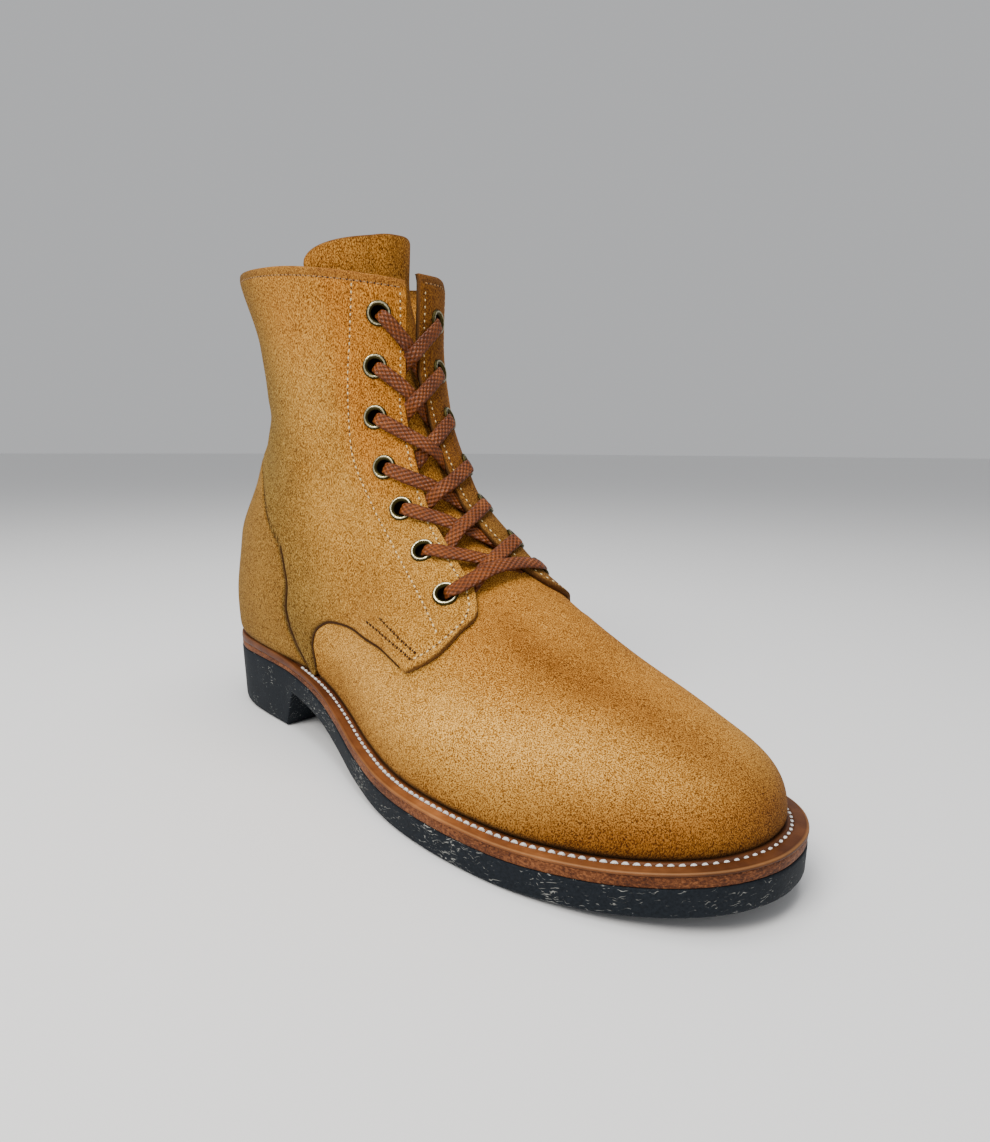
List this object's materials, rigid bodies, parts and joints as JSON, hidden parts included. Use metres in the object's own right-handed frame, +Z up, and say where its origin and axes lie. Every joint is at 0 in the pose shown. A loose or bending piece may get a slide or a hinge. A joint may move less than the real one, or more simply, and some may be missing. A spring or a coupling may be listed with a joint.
{
  "type": "ankle boot",
  "caption": "Plain-toe rough-out leather ankle boot for the right foot: open lacing through brass eyelets, welted leather midsole, flecked rubber sole with a low moulded heel.",
  "frame": {"origin": "middle of the boot's box, on the floor it stands on", "axes": "+X from heel to toe, +Y to the wearer's left (the inner side of this right boot), +Z up"},
  "size_m": [0.3018, 0.107, 0.2197],
  "materials": {
    "suede": "matte rough-out nap",
    "welt_leather": "smooth waxed",
    "midsole_leather": "cut edge",
    "sole_rubber": "matte, flecked",
    "insole_leather": "matte",
    "antique_brass": "worn antique",
    "lace_cord": "waxed flat braid"
  },
  "bodies": {
    "root": {"outsole": "sole_rubber", "midsole": "midsole_leather", "welt": "welt_leather", "insole": "insole_leather", "upper": "suede", "tongue": "suede", "counter": "suede", "eyelet_outer_1": "antique_brass", "eyelet_outer_2": "antique_brass", "eyelet_outer_3": "antique_brass", "eyelet_outer_4": "antique_brass", "eyelet_outer_5": "antique_brass", "eyelet_outer_6": "antique_brass", "eyelet_outer_7": "antique_brass", "eyelet_inner_1": "antique_brass", "eyelet_inner_2": "antique_brass", "eyelet_inner_3": "antique_brass", "eyelet_inner_4": "antique_brass", "eyelet_inner_5": "antique_brass", "eyelet_inner_6": "antique_brass", "eyelet_inner_7": "antique_brass", "lace_bar": "lace_cord", "lace_cross_2": "lace_cord", "lace_cross_3": "lace_cord", "lace_cross_4": "lace_cord", "lace_cross_5": "lace_cord", "lace_cross_6": "lace_cord", "lace_cross_7": "lace_cord"}
  },
  "joints": []
}
